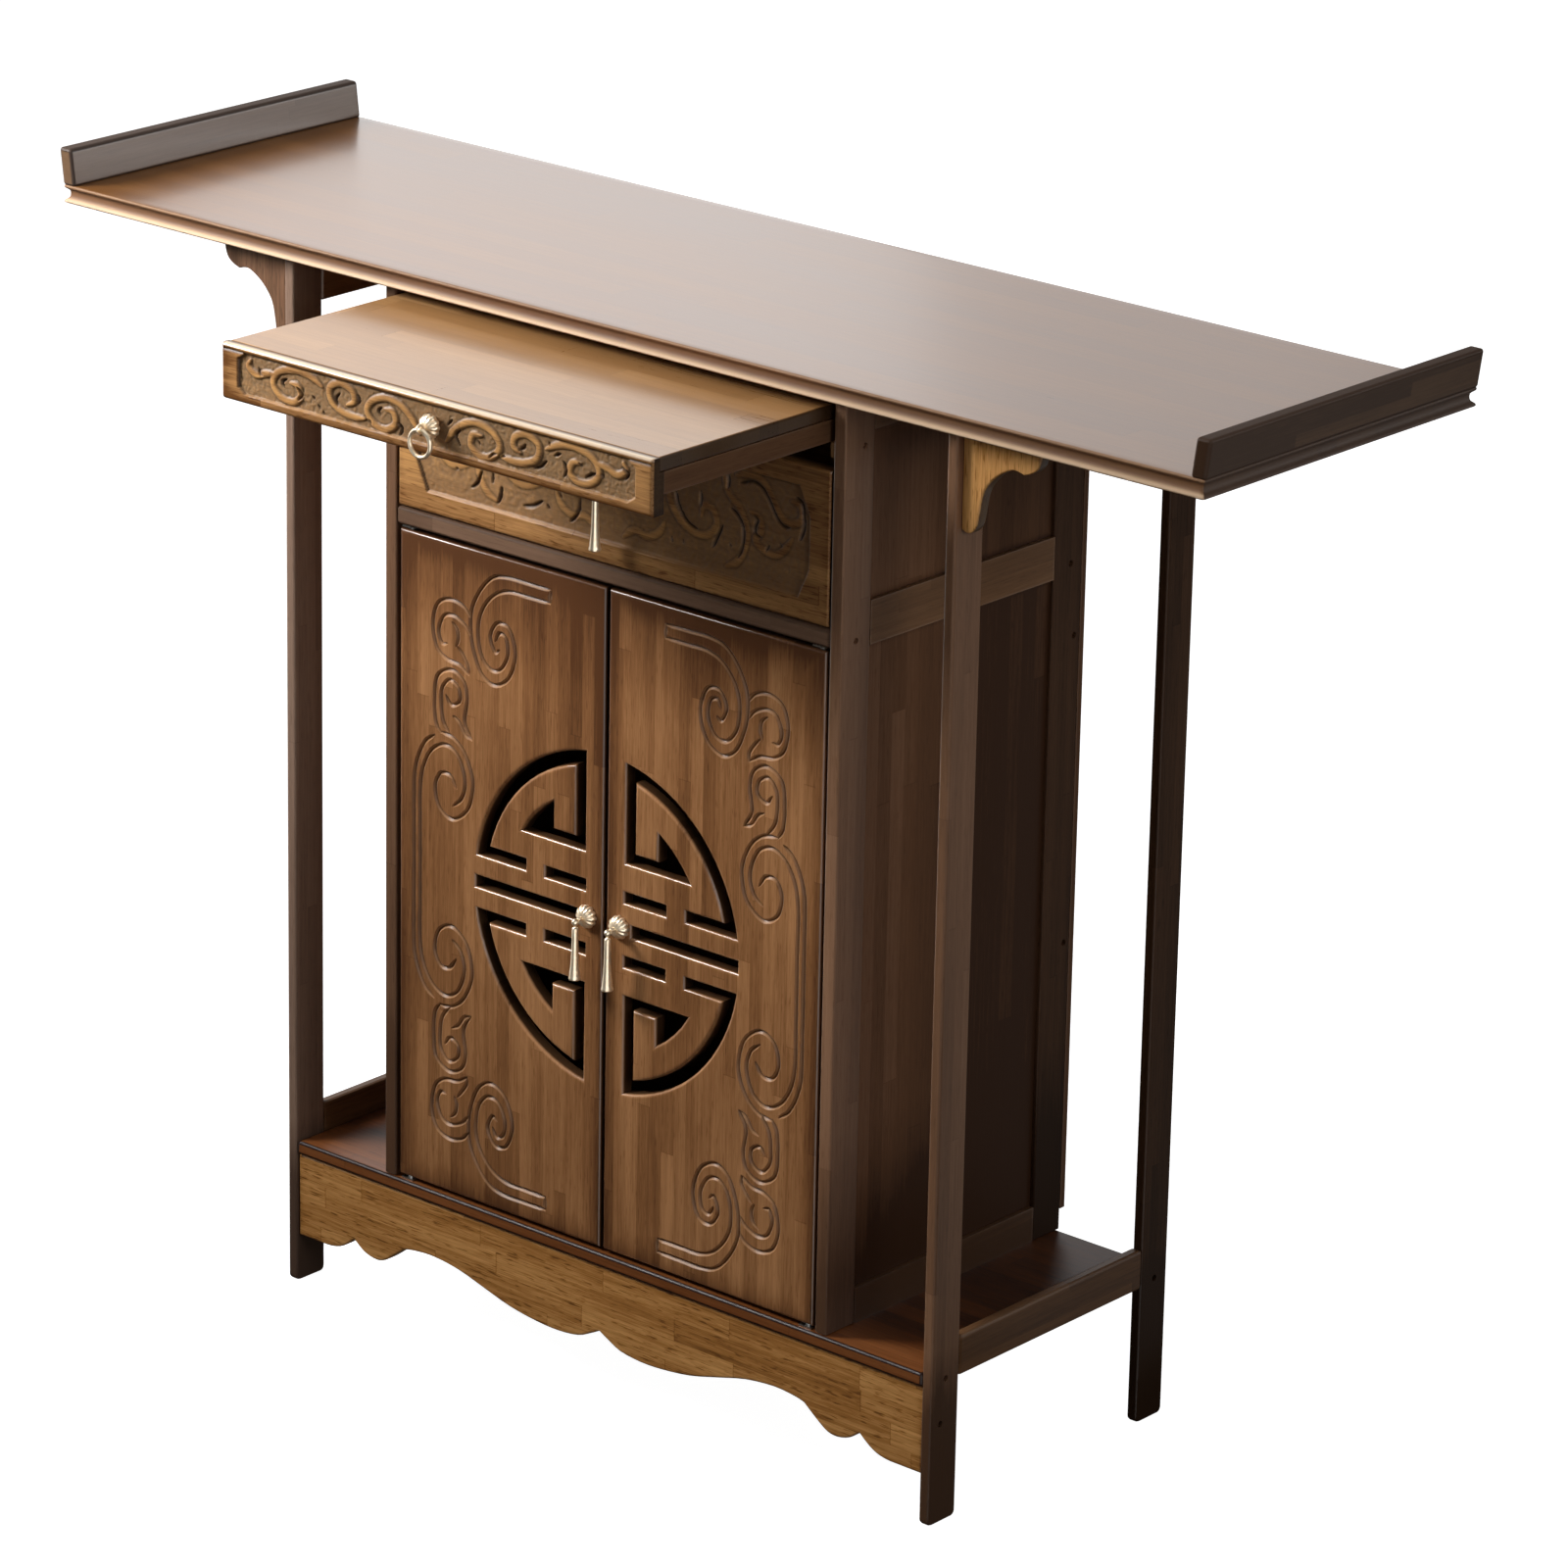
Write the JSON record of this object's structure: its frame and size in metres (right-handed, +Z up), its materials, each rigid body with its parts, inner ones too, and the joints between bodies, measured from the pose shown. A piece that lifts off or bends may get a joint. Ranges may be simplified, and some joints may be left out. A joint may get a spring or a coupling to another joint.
{
  "type": "altar cabinet table",
  "caption": "Long altar table with upturned ends on board legs, with a pierced-door cabinet, a drawer and a pull-out offering tray under the top.",
  "frame": {"origin": "on the floor, in the middle of the bounding box with the tray pulled out", "axes": "+X along the table's length, -Y towards the doors and the tray, +Z up"},
  "size_m": [1.2094, 0.541, 0.9543],
  "materials": {
    "top_board": "satin lacquered laminated bamboo board, fine straight grain along the length",
    "dark_board": "dark brown satin board with fine vertical strips",
    "door_board": "warm brown satin strip board, vertical strips, shallow carved scrolls",
    "carved_board": "yellow-brown satin board with low relief carving",
    "inner_board": "plain pale brown board, unpolished",
    "pale_brass": "pale satin brass",
    "pivot_steel": "bright steel"
  },
  "bodies": {
    "cabinet": {"table_top": "top_board", "left_end_flange": "top_board", "right_end_flange": "top_board", "front_left_leg": "dark_board", "front_right_leg": "dark_board", "back_left_leg": "dark_board", "back_right_leg": "dark_board", "left_leg_bracket": "dark_board", "right_leg_bracket": "dark_board", "left_top_rail": "dark_board", "right_top_rail": "dark_board", "base_shelf": "dark_board", "left_base_rail": "dark_board", "right_base_rail": "dark_board", "base_apron": "carved_board", "front_left_post": "dark_board", "front_right_post": "dark_board", "back_left_post": "dark_board", "back_right_post": "dark_board", "left_side_low_rail": "dark_board", "right_side_low_rail": "dark_board", "left_side_mid_rail": "dark_board", "right_side_mid_rail": "dark_board", "left_side_high_rail": "dark_board", "right_side_high_rail": "dark_board", "left_side_low_panel": "dark_board", "right_side_low_panel": "dark_board", "left_side_high_panel": "dark_board", "right_side_high_panel": "dark_board", "back_low_rail": "dark_board", "back_panel": "dark_board", "divider_shelf": "dark_board", "left_tray_runner": "inner_board", "right_tray_runner": "inner_board", "left_door_lower_pivot": "pivot_steel", "right_door_lower_pivot": "pivot_steel", "left_door_upper_pivot": "pivot_steel", "right_door_upper_pivot": "pivot_steel"},
    "tray": {"tray_front": "carved_board", "tray_board": "carved_board", "left_tray_rail": "carved_board", "right_tray_rail": "carved_board", "tray_rosette": "pale_brass"},
    "pull_ring": {"tray_pull_ring": "pale_brass"},
    "drawer": {"drawer_front": "carved_board", "left_drawer_side": "inner_board", "right_drawer_side": "inner_board", "drawer_back": "inner_board", "drawer_bottom": "inner_board", "drawer_rosette": "pale_brass", "drawer_drop": "pale_brass"},
    "left_door": {"left_door": "door_board", "left_door_rosette": "pale_brass", "left_door_drop": "pale_brass"},
    "right_door": {"right_door": "door_board", "right_door_rosette": "pale_brass", "right_door_drop": "pale_brass"}
  },
  "joints": [
    {"name": "tray_slide", "type": "slide", "parent": "cabinet", "child": "tray", "axis": [0, 1, 0], "range_m": [0, 0.2017]},
    {"name": "ring_hinge", "type": "hinge", "parent": "tray", "child": "pull_ring", "pos_m": [0, -0.2661, 0.8773], "axis": [-1, 0, 0], "range_deg": [-25, 95]},
    {"name": "drawer_slide", "type": "slide", "parent": "cabinet", "child": "drawer", "axis": [0, -1, 0], "range_m": [0, 0.19]},
    {"name": "left_door_hinge", "type": "hinge", "parent": "cabinet", "child": "left_door", "pos_m": [-0.22, -0.0454, 0.133], "axis": [0, 0, -1], "range_deg": [0, 105]},
    {"name": "right_door_hinge", "type": "hinge", "parent": "cabinet", "child": "right_door", "pos_m": [0.22, -0.0454, 0.133], "axis": [0, 0, 1], "range_deg": [0, 105]}
  ]
}
